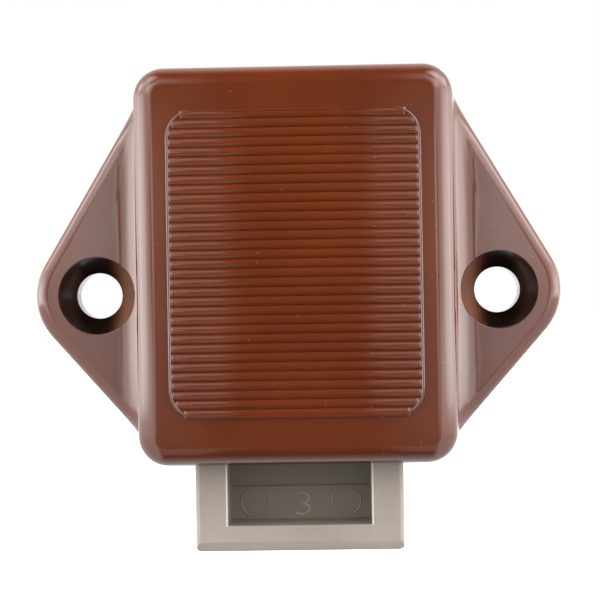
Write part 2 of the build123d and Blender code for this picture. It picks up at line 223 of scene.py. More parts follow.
def moulded_abs(name, light, deep, roughness):
    """Moulded ABS: two close colours in slow flow marks, a faint skin, painted shade and highlight in the
    countersinks, fine dust.
    """
    material, tree, shader = new_material(name)
    place = add(tree, "ShaderNodeTexCoord").outputs["Object"]
    flow, colour = mottled(tree, place, FLOW_MM, 3.0, (0.38, 0.62), linear(deep), linear(light))
    sink_shade, sink_highlight = countersink_masks(tree, place)
    colour = lay_over(tree, colour, [(sink_highlight, SINK_HIGHLIGHT), (sink_shade, SINK_SHADE), (dust_mask(tree, place), DUST)])
    feed(tree, shader.inputs["Base Color"], colour)
    gloss = add(tree, "ShaderNodeMapRange", [flow, 0.0, 1.0, roughness - 0.03, roughness + 0.03])
    feed(tree, shader.inputs["Roughness"], gloss)
    moulded_skin(tree, shader, place, ORANGE_PEEL_MM, 0.05, 0.02)
    shader.inputs["IOR"].default_value = 1.54
    shader.inputs["Specular IOR Level"].default_value = 0.8
    return material


brown_abs = moulded_abs("moulded_brown_ABS", ABS_BROWN, ABS_BROWN_DEEP, 0.13)
lit_reeded_abs = moulded_abs("moulded_brown_ABS_lit_reeds", LIT_REED_BROWN, LIT_REED_BROWN_DEEP, 0.08)
print("finishes", brown_abs.name, lit_reeded_abs.name)

# %% [markdown]
# The case's skin is a profile carried round a rounded rectangle. It starts outside at the door plane.
# It climbs the drafted wall, rolls over the edge and closes on the face.
# The other way it goes round the rim, over the plate's ledge and up the inside.
# Each row of the profile is an inset, a depth and a corner radius, so one function gives every ring.
# A cube with a Bevel modifier would look alike, but its corners couldn't narrow as the walls lean in.

# %% Case body
CASE_WIDTH, CASE_TOP, CASE_BOTTOM, CASE_DEPTH = 31.5, 21.8, -16.9, 13.5
CASE_CORNER, CASE_EDGE, CASE_WALL, BACK_WALL = 4.0, 1.8, 1.6, 1.7
DRAFT = radians(6.0)
CASE_MIDDLE = (CASE_TOP + CASE_BOTTOM) / 2
FACE_Y = -CASE_DEPTH


def rounded_loop(half_width, half_height, corner, corner_steps=14, side_steps=10):
    """A rounded rectangle as points: four quarter arcs of the corner radius, joined by straight sides."""
    arc = np.linspace(0, pi / 2, corner_steps)
    points = []
    for quarter in range(4):
        turn = arc + quarter * pi / 2
        cx = (half_width - corner) * (1, -1, -1, 1)[quarter]
        cz = (half_height - corner) * (1, 1, -1, -1)[quarter]
        points.append(np.stack([cx + corner * np.cos(turn), cz + corner * np.sin(turn)], 1))
    whole = []
    for quarter in range(4):
        start, end = points[quarter][-1], points[(quarter + 1) % 4][0]
        steps = np.linspace(0, 1, side_steps + 2)[1:-1, None]
        whole += [points[quarter], start + (end - start) * steps]
    return np.concatenate(whole)


def level_loop(half_width, half_height, corner, middle, y):
    """A rounded rectangle set at the height middle and the depth y."""
    loop = rounded_loop(half_width, half_height, corner)
    return np.stack([loop[:, 0], np.full(len(loop), y), loop[:, 1] + middle], 1)


def case_ring(inset, y, corner):
    """One ring of the case's skin, drawn in by the inset, at the depth y."""
    return level_loop(CASE_WIDTH / 2 - inset, (CASE_TOP - CASE_BOTTOM) / 2 - inset, corner, CASE_MIDDLE, y)


def wall_inset(y):
    """How far the drafted wall has moved in at the depth y."""
    return -y * tan(DRAFT)


def outer_rows():
    """The outside of the case: the drafted wall, then an arc that meets the wall and the face."""
    rows = [(0.12, 0.0), (0.0, -0.12)] + [(wall_inset(y), y) for y in np.linspace(-0.3, -11.6, 9)]
    centre_y = FACE_Y + CASE_EDGE
    centre_inset = wall_inset(centre_y) + CASE_EDGE / np.cos(DRAFT)
    turn = np.linspace(DRAFT, pi / 2, 16)
    rows += list(zip(centre_inset - CASE_EDGE * np.cos(turn), centre_y - CASE_EDGE * np.sin(turn)))
    rows += [(centre_inset + 0.1, FACE_Y)]
    return [(inset, y, max(CASE_CORNER - inset, 0.45)) for inset, y in rows]


def inner_rows():
    """The inside, from the rim over the plate's ledge to the back wall's inner face."""
    ledge, ledge_y = 1.0, -1.2
    floor_y = FACE_Y + BACK_WALL
    inner = CASE_WALL + wall_inset(floor_y)
    return [(inner, floor_y, 2.0), (CASE_WALL, ledge_y, 3.1), (ledge, ledge_y, 3.0), (ledge, 0.0, 3.0)]


rows = [case_ring(*row) for row in inner_rows() + outer_rows()]
loop_size = len(rows[0])
case_faces = grid_faces(len(rows), loop_size, False, True).tolist()
case_faces += [list(range(loop_size))[::-1], list(range((len(rows) - 1) * loop_size, len(rows) * loop_size))]
case_body = piece_from("case_body", np.concatenate(rows), case_faces, brown_abs, "root")
face_outwards(case_body)
print("case body", len(case_body.data.vertices), "points")

# %% [markdown]
# The bolt slides through a slot in the case's lower wall. The grid could leave a hole for it, but its rows
# don't follow the slot's edges, so a plain box cuts it out. Its sizes come from the bolt in the frame, plus
# the running gap that the bolt has.

# %% Bolt slot
def block_points(low, high):
    """The eight corners of a box, and its six faces pointing outwards."""
    corners = [(x, y, z) for x in (low[0], high[0]) for y in (low[1], high[1]) for z in (low[2], high[2])]
    faces = [(0, 1, 3, 2), (4, 6, 7, 5), (0, 4, 5, 1), (2, 3, 7, 6), (0, 2, 6, 4), (1, 5, 7, 3)]
    return corners, faces


def plain_solid(points, faces):
    """A bare closed solid, used to cut with or to add."""
    mesh = bpy.data.meshes.new("solid")
    mesh.from_pydata((np.array(points) * MM).tolist(), [], faces)
    solid = bpy.data.objects.new("solid", mesh)
    bpy.context.scene.collection.objects.link(solid)
    return face_outwards(solid)


def cutter_block(low, high):
    """A plain box that is only used to cut with or to add."""
    return plain_solid(*block_points(low, high))


def combine(piece, other, operation):
    """Joins another solid to a piece, or takes it out, and deletes the other solid."""
    step = piece.modifiers.new("step", "BOOLEAN")
    step.object = other
    step.operation = operation
    step.solver = "EXACT"
    shaped = bpy.data.meshes.new_from_object(piece.evaluated_get(bpy.context.evaluated_depsgraph_get()))
    piece.modifiers.clear()
    piece.data = shaped
    bpy.data.objects.remove(other)
    shaped.set_sharp_from_angle(angle=radians(35))
    return piece


def cut_away(piece, cutter):
    """Takes a cutter's volume out of a piece."""
    return combine(piece, cutter, "DIFFERENCE")


bolt_low, bolt_high = (np.array(corner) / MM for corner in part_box("latch_bolt"))
BOLT_HALF, BOLT_FRONT_Y, BOLT_BACK_Y = 9.7, bolt_low[1], bolt_high[1]
SLOT_GAP = 0.2
slot_low = (-BOLT_HALF - SLOT_GAP, BOLT_FRONT_Y - SLOT_GAP, CASE_BOTTOM - 2)
slot_high = (BOLT_HALF + SLOT_GAP, 1.0, CASE_BOTTOM + 4)
cut_away(case_body, cutter_block(slot_low, slot_high))
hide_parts("case_shell")
print("slot", round(slot_high[0] - slot_low[0], 2), "mm wide")

# %% [markdown]
# Each ear is a flat plate with a rounded rim. By the case its face flares up in a cove: part of a circle
# that stops at 48 degrees, where it meets the wall. A steeper end would mirror the ear and not the light.
# The ear is worked out in polar form round its screw hole. Every ray runs up the bore, out along the
# countersink, over the face to the rim, down the side and back along the door face, so the skin closes.

# %% Screw ears
EAR_THICK, EAR_RADIUS = 4.2, 6.0
EAR_UP, EAR_LOW = radians(30.7), radians(41.4)
EAR_RIM, EAR_COVE, COVE_ANGLE = 1.2, 2.7, radians(48)
HOLE_R, HEAD_STEP = 2.2, 0.4
COVE_SUNK = 0.03
COVE_END_Y = -EAR_THICK - EAR_COVE * (1 - np.cos(COVE_ANGLE))
COVE_END_X = CASE_WIDTH / 2 - wall_inset(COVE_END_Y) - COVE_SUNK
COVE_TOP_X = COVE_END_X - EAR_COVE * (1 - np.sin(COVE_ANGLE))
EAR_RAYS = 540


def ear_edges(x, z):
    """Distance inside the ear's outline: to the tip's circle in its sector, else to the nearer edge."""
    px = x - HOLE_X
    upper = EAR_RADIUS - (px * np.cos(EAR_UP) + z * np.sin(EAR_UP))
    lower = EAR_RADIUS - (px * np.cos(EAR_LOW) - z * np.sin(EAR_LOW))
    turn = np.arctan2(z, px)
    in_sector = (turn < EAR_UP) & (turn > -EAR_LOW)
    return np.where(in_sector, EAR_RADIUS - np.hypot(px, z), np.minimum(upper, lower))


def quarter_drop(distance, radius):
    """Depth of a quarter circle of that radius, at a distance from where it starts to fall."""
    t = np.clip(radius - np.maximum(distance, 0), 0, radius)
    return radius - np.sqrt(np.maximum(radius**2 - t**2, 0))


def ear_reach(turn):
    """How far a ray from the hole's centre goes to the outline or the case, found by halving."""
    near, far = np.full_like(turn, HEAD_R), np.full_like(turn, 40.0)
    for _ in range(40):
        middle = (near + far) / 2
        x, z = HOLE_X + middle * np.cos(turn), middle * np.sin(turn)
        inside = (ear_edges(x, z) > 0) & (x > COVE_END_X)
        near, far = np.where(inside, middle, near), np.where(inside, far, middle)
    return near


def ear_front(x, z):
    """The front face's y: flat, falling in a quarter circle at the rim and rising in one at the case."""
    return -EAR_THICK + quarter_drop(ear_edges(x, z), EAR_RIM) - quarter_drop(x - COVE_TOP_X, EAR_COVE)


def ear_points(side):
    """The grid of one ear: profile rows from the hole outwards and back, by rays round the hole."""
    turn = np.linspace(0, 2 * pi, EAR_RAYS, endpoint=False)
    reach = ear_reach(turn)
    cone_y = -EAR_THICK + HEAD_STEP + HEAD_R - HOLE_R
    hole = [(HOLE_R, 0.0), (HOLE_R, cone_y / 2), (HOLE_R, cone_y), (HEAD_R, -EAR_THICK + HEAD_STEP)]
    hole += [(HEAD_R, -EAR_THICK + 0.08), (HEAD_R + HEAD_EDGE, -EAR_THICK + 0.02)]
    rows = [(np.full_like(turn, r), np.full_like(turn, y)) for r, y in hole]
    for step in (0.06, 0.08):
        r = HEAD_R + np.minimum(step, (reach - HEAD_R) * step)
        rows.append((r, ear_front(HOLE_X + r * np.cos(turn), r * np.sin(turn))))
    edge_share = np.minimum(3.2 / (reach - HEAD_R - 0.1), 0.75)
    share = np.concatenate([np.linspace(0, 1, 7)[:-1], 1 + np.sin(np.linspace(0, pi / 2, 22))])
    for s in share:
        inner = np.minimum(s, 1) * (1 - edge_share)
        outer = max(s - 1, 0) * edge_share
        r = HEAD_R + 0.1 + (reach - HEAD_R - 0.1) * (inner + outer)
        rows.append((r, ear_front(HOLE_X + r * np.cos(turn), r * np.sin(turn))))
    rows.append((reach, rows[-1][1] * 0.5))
    rows.append((reach, np.zeros_like(turn)))
    grid = [np.stack([side * (HOLE_X + r * np.cos(turn)), y, r * np.sin(turn)], 1) for r, y in rows]
    return np.concatenate(grid), len(grid)


for side, name in ((1, "screw_ear_right"), (-1, "screw_ear_left")):
    points, count = ear_points(side)
    ear_faces = grid_faces(count, EAR_RAYS, True, True)
    ear = piece_from(name, points, ear_faces, brown_abs, "root")
    face_outwards(ear)
    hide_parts("case_shell")
print("ear points", len(points))

# %% [markdown]
# The face carries a panel of thirty-three fine reeds inside a thin rim.
# A reed is an arc of a circle carried along X. Near each end its width and height shrink by a circle's law.
# Reeds by the panel's corners are shorter, because the panel's corners are round. An Array modifier would
# repeat one length only, so each reed is worked out by its number.

# %% Reeded panel
PANEL_WIDTH, PANEL_HEIGHT, PANEL_Z, PANEL_CORNER = 23.05, 27.85, 2.6, 2.5
PANEL_RIM, RIM_HEIGHT = 0.3, 0.2
REEDS, REED_HEIGHT, REED_END = 33, 0.19, 0.35
REED_PITCH = PANEL_HEIGHT / REEDS


def reed_points(number):
    """One reed's grid: stations along X by places across it, drawn in to almost nothing at both ends."""
    z_mid = PANEL_Z - PANEL_HEIGHT / 2 + (number + 0.5) * REED_PITCH
    into_corner = max(abs(z_mid - PANEL_Z) - (PANEL_HEIGHT / 2 - PANEL_CORNER), 0)
    half = PANEL_WIDTH / 2 - PANEL_RIM / 2 - (PANEL_CORNER - (PANEL_CORNER**2 - into_corner**2) ** 0.5)
    fall = np.linspace(0, pi / 2, 8)
    end_x, end_size = half - REED_END + REED_END * np.sin(fall), np.cos(fall)
    x = np.concatenate([-end_x[::-1], end_x])
    size = np.maximum(np.concatenate([end_size[::-1], end_size]), 0.02)
    chord = REED_PITCH / 2
    radius = (chord**2 + REED_HEIGHT**2) / (2 * REED_HEIGHT)
    across = np.linspace(-chord, chord, 13)
    rise = np.sqrt(radius**2 - across**2) - (radius - REED_HEIGHT)
    z = z_mid + size[:, None] * across
    y = FACE_Y - size[:, None] * rise
    sole = np.full((len(x), 1), FACE_Y + 0.1)
    z = np.concatenate([z[:, :1], z, z[:, -1:]], 1)
    y = np.concatenate([sole, y, sole], 1)
    return np.stack([np.repeat(x[:, None], z.shape[1], 1), y, z], 2)


reed_grids = [reed_points(n) for n in range(REEDS)]
stations, places = reed_grids[0].shape[:2]
one_reed = grid_faces(stations, places, False, True).tolist()
one_reed += [list(range(places))[::-1], list(range((stations - 1) * places, stations * places))]
reed_faces = [[i + n * stations * places for i in f] for n in range(REEDS) for f in one_reed]
reed_field = np.concatenate([g.reshape(-1, 3) for g in reed_grids])
reeds = piece_from("reeded_panel", reed_field, reed_faces, lit_reeded_abs, "root", crisp=60)
face_outwards(reeds)
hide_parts("case_shell")

rim_turn = np.linspace(0, pi, 9)
rim_rows = [(0.0, -0.1)]
rim_rows += [(PANEL_RIM / 2 * (1 - np.cos(t)), RIM_HEIGHT * np.sin(t) ** 0.7) for t in rim_turn]
rim_rows += [(PANEL_RIM, -0.1)]
half_width, half_height = PANEL_WIDTH / 2, PANEL_HEIGHT / 2
rim_grid = [
    level_loop(half_width - inset, half_height - inset, PANEL_CORNER - inset, PANEL_Z, FACE_Y - height)
    for inset, height in rim_rows
]
rim_faces = grid_faces(len(rim_grid), len(rim_grid[0]), True, True)
rim = piece_from("panel_rim", np.concatenate(rim_grid), rim_faces, brown_abs, "root")
face_outwards(rim)
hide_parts("case_shell")
print("reeds", REEDS, "pitch", round(REED_PITCH, 3), "mm")

# %% [markdown]
# The bolt is moulded nylon, a beige one with a soft sheen. It is mottled by a few percent, with a fine grain.
# Painted shade darkens it with depth, so the pocket's floor is greyer than its face.
# Painted highlights run along the two front edges at the pocket's sides, and the figure on its floor takes a
# lighter painted shade than the floor round it.

# %% Moulded nylon
NYLON, NYLON_DEEP = "#b4aba3", "#aaa199"
# A painted shade for depth, a painted highlight for the pocket's edges, and a lighter painted shade for the
# figure.
NYLON_DEPTH_SHADE, NYLON_EDGE_HIGHLIGHT, NYLON_FIGURE_SHADE = "#90877d", "#f4efe6", "#aca398"
DEPTH_SHADE_FROM, DEPTH_SHADE_TO = 0.3, 3.0
POCKET_EDGE_X, POCKET_LOW_Z = 6.76, bolt_low[2] + 2.4
EDGE_LINE, EDGE_STRENGTH = 0.12, 0.85
NYLON_MOTTLE_MM = 5.0
NYLON_GRAIN_MM = 0.35


def pocket_edge_lines(tree, split):
    """A mask of the painted highlights along the two thin edges at the pocket's sides."""
    across = add(tree, "ShaderNodeMath", [split["X"]], operation="ABSOLUTE")
    beside = add(tree, "ShaderNodeMath", [across, POCKET_EDGE_X * MM], operation="SUBTRACT")
    off_edge = add(tree, "ShaderNodeMath", [beside], operation="ABSOLUTE")
    bands = [
        (off_edge, EDGE_LINE, EDGE_LINE / 2),
        (split["Z"], POCKET_LOW_Z - 0.05, POCKET_LOW_Z),
        (split["Y"], BOLT_FRONT_Y + 0.6, BOLT_FRONT_Y + 0.2),
    ]
    return soft_mask(tree, bands, EDGE_STRENGTH)


def moulded_nylon(name, depth_shade, roughness):
    """Nylon: softly mottled, with a fine grain, with painted shade in its depth and painted highlights on two
    edges.
    """
    material, tree, shader = new_material(name)
    place = add(tree, "ShaderNodeTexCoord").outputs["Object"]
    split = add(tree, "ShaderNodeSeparateXYZ", [place]).outputs
    colour = mottled(tree, place, NYLON_MOTTLE_MM, 3.0, (0.35, 0.65), linear(NYLON_DEEP), linear(NYLON))[1]
    depths = [(BOLT_FRONT_Y + DEPTH_SHADE_FROM) * MM, (BOLT_FRONT_Y + DEPTH_SHADE_TO) * MM]
    depth_shade_mask = add(tree, "ShaderNodeMapRange", [split["Y"], *depths])
    colour = lay_over(tree, colour, [(depth_shade_mask, depth_shade), (pocket_edge_lines(tree, split), NYLON_EDGE_HIGHLIGHT)])
    feed(tree, shader.inputs["Base Color"], colour)
    moulded_skin(tree, shader, place, NYLON_GRAIN_MM, 0.08, 0.02)
    shader.inputs["Roughness"].default_value = roughness
    shader.inputs["IOR"].default_value = 1.53
    return material


beige_nylon = moulded_nylon("moulded_beige_nylon", NYLON_DEPTH_SHADE, 0.24)
raised_nylon = moulded_nylon("moulded_nylon_raised", NYLON_FIGURE_SHADE, 0.3)
print("finishes", beige_nylon.name, raised_nylon.name)

# %% [markdown]
# The bolt has too many pockets for one grid, so it is made as a moulder would see it: a block with its tip
# chamfered and its long front edges rounded.
# The pocket, the window for the plunger, the detent's track and the pin's bore are cut out of it.
# Then the spring lugs are added, and all its other edges are rounded by a tenth of a millimetre.

# %% Bolt
def add_to(piece, lump):
    """Joins a solid to a piece."""
    return combine(piece, lump, "UNION")


def round_edges(piece, width, angle, segments=2):
    """Rounds every edge sharper than an angle, and keeps the flat faces flat in the shading."""
    shape = bmesh.new()
    shape.from_mesh(piece.data)
    bmesh.ops.dissolve_limit(shape, angle_limit=radians(1), verts=shape.verts, edges=shape.edges)
    sharp = [e for e in shape.edges if len(e.link_faces) == 2 and e.calc_face_angle() > radians(angle)]
    rounding = {"offset": width * MM, "segments": segments, "profile": 0.5, "clamp_overlap": True}
    bmesh.ops.bevel(shape, geom=sharp, affect="EDGES", **rounding)
    shape.to_mesh(piece.data)
    shape.free()
    piece.data.polygons.foreach_set("use_smooth", np.ones(len(piece.data.polygons), bool))
    piece.data.set_sharp_from_angle(angle=radians(50))
    flat = piece.modifiers.new("flat_faces", "WEIGHTED_NORMAL")
    flat.keep_sharp = True
    return piece


BOLT_TIP_Z, BOLT_TOP_Z = bolt_low[2], bolt_high[2]
BOLT_RAIL, TIP_RAIL = 3.0, 2.4
TIP_CHAMFER, TIP_DEPTH, TIP_CORNER = 0.9, 0.45, 0.5
POCKET_DEPTH, POCKET_STEP, POCKET_STEP_HEIGHT, POCKET_LENGTH = 5.0, 0.4, 3.1, 7.9
POCKET_TAPER = 0.12
WINDOW_HALF, WINDOW_TOP, WINDOW_BOTTOM = 4.2, 5.8, -12.8
LUG_HALF, LUG_START, LUG_ROOT = 13.1, 1.6, 0.5
PIN_Y, PIN_Z, PIN_RADIUS, PIN_GAP, BORE_END = -3.6, -3.5, 1.0, 0.02, 7.52
WIRE_X, TRACK_HALF, TRACK_DEPTH, TRACK_LOW = 7.0, 2.1, 1.2, -0.8
BOLT_ROUND, BOLT_SHOULDER = 0.1, 0.55
CUT_SPARE = 1.0


def prism(outline, axis, start, end):
    """A closed mesh: a flat outline in two axes, carried along the third from start to end."""
    points = []
    for along in (start, end):
        for a, b in outline:
            point = [a, b]
            point.insert("xyz".index(axis), along)
            points.append(point)
    n = len(outline)
    faces = [(i, (i + 1) % n, n + (i + 1) % n, n + i) for i in range(n)]
    return points, faces + [tuple(range(n))[::-1], tuple(range(n, 2 * n))]


def tapered_pocket(half, low, high, front_y, floor_y, taper):
    """A cutter for a pocket whose two side walls lean in by the taper from its mouth to its floor.

    It starts a little outside the face, where the leaning walls stand that much further apart.
    """
    mouth = half + taper * CUT_SPARE / (floor_y - front_y)
    floor = half - taper
    mouth_y = front_y - CUT_SPARE
    outline = [(-mouth, mouth_y), (mouth, mouth_y), (floor, floor_y), (-floor, floor_y)]
    return prism(outline, "z", low, high)


def circle(radius, first, second, steps=40):
    """A circle as an outline, round a centre given in the outline's two axes."""
    turn = np.linspace(0, 2 * pi, steps, endpoint=False)
    return list(zip(first + radius * np.cos(turn), second + radius * np.sin(turn)))


tip_steps = np.linspace(0, pi / 2, 5)
left_foot = [
    (-BOLT_HALF + TIP_CORNER * (1 - np.cos(t)), BOLT_TIP_Z + TIP_CORNER * (1 - np.sin(t))) for t in tip_steps
]
right_foot = [(-x, z) for x, z in left_foot[::-1]]
outline = left_foot + right_foot + [(BOLT_HALF, BOLT_TOP_Z), (-BOLT_HALF, BOLT_TOP_Z)]
points, faces = prism(outline, "y", BOLT_FRONT_Y, BOLT_BACK_Y)
bolt = piece_from("bolt_block", points, faces, beige_nylon, "bolt")
face_outwards(bolt)

chamfer_side = [
    (BOLT_FRONT_Y - CUT_SPARE, BOLT_TIP_Z + TIP_CHAMFER + TIP_CHAMFER / TIP_DEPTH * CUT_SPARE),
    (BOLT_FRONT_Y + TIP_DEPTH, BOLT_TIP_Z),
    (BOLT_FRONT_Y + TIP_DEPTH, BOLT_TIP_Z - CUT_SPARE),
    (BOLT_FRONT_Y - CUT_SPARE, BOLT_TIP_Z - CUT_SPARE),
]
cut_away(bolt, plain_solid(*prism(chamfer_side, "x", -BOLT_HALF - CUT_SPARE, BOLT_HALF + CUT_SPARE)))
shoulder_turn = np.linspace(pi / 2, 0, 8)
shoulder_x = BOLT_HALF - BOLT_SHOULDER
shoulder = [(BOLT_HALF + CUT_SPARE, BOLT_FRONT_Y - CUT_SPARE), (shoulder_x, BOLT_FRONT_Y - CUT_SPARE)]
for t in shoulder_turn:
    shoulder += [(shoulder_x + BOLT_SHOULDER * np.cos(t), BOLT_FRONT_Y + BOLT_SHOULDER * (1 - np.sin(t)))]
shoulder += [(BOLT_HALF + CUT_SPARE, BOLT_FRONT_Y + BOLT_SHOULDER)]
for side in (1, -1):
    outline = [(side * x, y) for x, y in shoulder]
    cut_away(bolt, plain_solid(*prism(outline, "z", BOLT_TIP_Z - CUT_SPARE, BOLT_TOP_Z + CUT_SPARE)))
pocket_low = BOLT_TIP_Z + TIP_RAIL
pocket_floor = BOLT_FRONT_Y + POCKET_DEPTH
pocket_top = pocket_low + POCKET_LENGTH
pocket_half = BOLT_HALF - BOLT_RAIL
pocket = tapered_pocket(pocket_half, pocket_low, pocket_top, BOLT_FRONT_Y, pocket_floor, POCKET_TAPER)
cut_away(bolt, plain_solid(*pocket))
step_half = pocket_half - POCKET_TAPER
step_low = (-step_half, pocket_floor - CUT_SPARE / 2, pocket_low + POCKET_STEP_HEIGHT)
cut_away(bolt, cutter_block(step_low, (step_half, pocket_floor + POCKET_STEP, pocket_top)))
window_low = (-WINDOW_HALF, BOLT_FRONT_Y - CUT_SPARE, WINDOW_BOTTOM)
cut_away(bolt, cutter_block(window_low, (WINDOW_HALF, 0, WINDOW_TOP)))
track_low = (WIRE_X - TRACK_HALF, BOLT_FRONT_Y - CUT_SPARE, TRACK_LOW)
track_high = (WIRE_X + TRACK_HALF, BOLT_FRONT_Y + TRACK_DEPTH, BOLT_TOP_Z + CUT_SPARE)
cut_away(bolt, cutter_block(track_low, track_high))
bore = prism(circle(PIN_RADIUS + PIN_GAP, PIN_Y, PIN_Z), "x", -BOLT_HALF - CUT_SPARE, BORE_END)
cut_away(bolt, plain_solid(*bore))
for side in (1, -1):
    inner, outer = sorted((side * (BOLT_HALF - LUG_ROOT), side * LUG_HALF))
    lug = cutter_block((inner, BOLT_FRONT_Y + LUG_START, WINDOW_TOP), (outer, BOLT_BACK_Y, BOLT_TOP_Z))
    add_to(bolt, lug)
round_edges(bolt, BOLT_ROUND, 30)
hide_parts("latch_bolt")
print("bolt", len(bolt.data.polygons), "faces")

# %% [markdown]
# The pieces on the door's far side are turned: a profile of radius and depth is carried round the axis of
# the button. A ring's profile closes on itself. The button's profile starts and ends by the axis, and two
# flat caps close it. A Screw modifier turns a profile too, but the same helper serves rings and grids alike.

# %% Turned pieces on the door side
def turned(name, profile, material, body, steps=128, ring=True):
    """A profile of (radius, y) points carried round the Y axis: a closed ring, or a body with flat caps."""
    turn = np.linspace(0, 2 * pi, steps, endpoint=False)
    rows = [np.stack([r * np.cos(turn), np.full(steps, y), r * np.sin(turn)], 1) for r, y in profile]
    faces = grid_faces(len(rows), steps, ring, True).tolist()
    if not ring:
        faces += [list(range(steps))[::-1], list(range((len(rows) - 1) * steps, len(rows) * steps))]
    return face_outwards(piece_from(name, np.concatenate(rows), faces, material, body))


def arc(centre_r, centre_y, radius, start, end, steps=9):
    """Profile points on an arc. Angles are in degrees, and 90 points towards the button's face."""
    turn = np.radians(np.linspace(start, end, steps))
    return [(centre_r + radius * np.cos(t), centre_y + radius * np.sin(t)) for t in turn]


def soft_corners(points, radius):
    """A closed profile whose corners are each cut by two points a little way along both sides."""
    soft = []
    for here, before, after in zip(points, points[-1:] + points[:-1], points[1:] + points[:1]):
        here, before, after = (np.array(p, float) for p in (here, before, after))
        back, on = before - here, after - here
        soft.append(tuple(here + back / np.linalg.norm(back) * radius))
        soft.append(tuple(here + on / np.linalg.norm(on) * radius))
    return soft


DOOR, FLANGE_BACK, FLANGE_FRONT, BUTTON_FRONT = 15.0, 15.8, 19.0, 19.2
SLEEVE_R, FLANGE_R, THREAD_R, BORE_R, BUTTON_R = 10.0, 13.5, 9.02, 8.2, 8.0
SHOULDER_Y, SLEEVE_START = 12.2, 4.0

rosette_profile = [(THREAD_R + 0.2, SLEEVE_START), (SLEEVE_R - 0.2, SLEEVE_START)]
rosette_profile += [(SLEEVE_R, SLEEVE_START + 0.2), (SLEEVE_R, FLANGE_BACK - 0.2)]
rosette_profile += [(SLEEVE_R + 0.2, FLANGE_BACK)]
rosette_profile += arc(FLANGE_R - 0.2, FLANGE_BACK + 0.2, 0.2, -90, 0, 4)
rosette_profile += arc(FLANGE_R - 1.0, FLANGE_FRONT - 1.0, 1.0, 0, 90, 12)
rosette_profile += [(10.6, FLANGE_FRONT), (10.4, FLANGE_FRONT - 0.15), (10.2, FLANGE_FRONT)]
rosette_profile += arc(BORE_R + 0.3, FLANGE_FRONT - 0.3, 0.3, 90, 180, 5)
rosette_profile += [(BORE_R, SHOULDER_Y + 0.1), (BORE_R + 0.1, SHOULDER_Y), (THREAD_R, SHOULDER_Y)]
rosette_profile += [(THREAD_R, SLEEVE_START + 0.2)]
rosette = turned("rosette_ring", rosette_profile, brown_abs, "root")
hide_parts("rosette")

dish_r = np.linspace(6.6, 0.02, 9)
button_profile = [(0.02, 16.4), (2.9, 16.4), (3.02, 16.3), (3.02, 9.5), (3.12, 9.4), (4.5, 9.4), (4.6, 9.5)]
button_profile += [(4.6, 16.8), (4.8, 17.0), (6.2, 17.0), (6.4, 16.8)]
button_profile += [(6.4, 12.5), (6.5, 12.4), (7.9, 12.4), (8.0, 12.5)]
button_profile += arc(BUTTON_R - 0.8, BUTTON_FRONT - 0.8, 0.8, 0, 90, 10)
button_profile += [(r, BUTTON_FRONT - 0.25 * (1 - (r / 6.8) ** 2)) for r in dish_r]
button = turned("button_cap", button_profile, brown_abs, "button", ring=False)
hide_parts("push_button")
print("rosette", 2 * FLANGE_R, "mm across, button", 2 * BUTTON_R, "mm")

# %% [markdown]
# The washer is dull moulded rubber between the rosette and the door. A plain black would look like a hole,
# so a powdery bloom lightens it a little. Its grain is fine, and its edges are soft.

# %% Rubber washer
RUBBER, RUBBER_BLOOM = "#202224", "#45474a"
BLOOM_MM, RUBBER_GRAIN_MM = 1.8, 0.25


def moulded_rubber(name):
    """Black rubber: dull, with a fine powdery bloom and a grained skin."""
    material, tree, shader = new_material(name)
    place = add(tree, "ShaderNodeTexCoord").outputs["Object"]
    colour = mottled(tree, place, BLOOM_MM, 4.0, (0.0, 1.0), linear(RUBBER), linear(RUBBER_BLOOM))[1]
    feed(tree, shader.inputs["Base Color"], colour)
    moulded_skin(tree, shader, place, RUBBER_GRAIN_MM, 0.3, 0.03)
    shader.inputs["Roughness"].default_value = 0.78
    return material


rubber = moulded_rubber("black_rubber")
washer_profile = soft_corners([(10.2, DOOR), (13.0, DOOR), (13.0, FLANGE_BACK), (10.2, FLANGE_BACK)], 0.12)
washer = turned("washer_ring", washer_profile, rubber, "root")
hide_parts("rosette_washer")
print("washer", len(washer.data.vertices), "points")

# %% [markdown]
# Three finishes of steel differ in colour, roughness and the direction of their fine marks.
# Zinc plate has a soft crystal pattern, ground steel has streaks along its length, and drawn wire is darker.
# One recipe makes all three: a noise pattern, stretched along the way in which the part was worked.

# %% Steel finishes
MARK_SPAN, MARK_SHADE = (0.3, 0.7), 0.86


def marked_steel(name, colour, mark_mm, stretch, roughness, spread, relief):
    """Steel with marks of a size in millimetres, stretched along X, Y and Z by three factors."""
    material, tree, shader = new_material(name)
    place = add(tree, "ShaderNodeTexCoord").outputs["Object"]
    drawn = add(tree, "ShaderNodeMapping", {"Vector": place, "Scale": stretch})
    bright = linear(colour)
    dull = [part * MARK_SHADE for part in bright[:3]] + [1.0]
    marks, tint = mottled(tree, drawn, mark_mm, 4.0, MARK_SPAN, dull, bright)
    feed(tree, shader.inputs["Base Color"], tint)
    shine = add(tree, "ShaderNodeMapRange", [marks, *MARK_SPAN, roughness - spread, roughness + spread])
    feed(tree, shader.inputs["Roughness"], shine)
    bump = add(tree, "ShaderNodeBump", {"Strength": relief, "Distance": 0.02 * MM, "Height": marks})
    feed(tree, shader.inputs["Normal"], bump)
    shader.inputs["Metallic"].default_value = 1.0
    return material


zinc_plate = marked_steel("zinc_plated_steel", "#c3c6c9", 1.4, (1, 1, 1), 0.33, 0.08, 0.15)
ground_steel = marked_steel("ground_steel", "#cfcdca", 0.5, (1, 0.08, 1), 0.24, 0.06, 0.1)
drawn_wire = marked_steel("drawn_spring_steel", "#96948f", 0.4, (1, 1, 0.15), 0.36, 0.07, 0.15)


def dress_node(name, material):
    """Gives a CAD node of the frame a finish through its object's material slots."""
    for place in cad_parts[name].material_slots:
        place.material = material


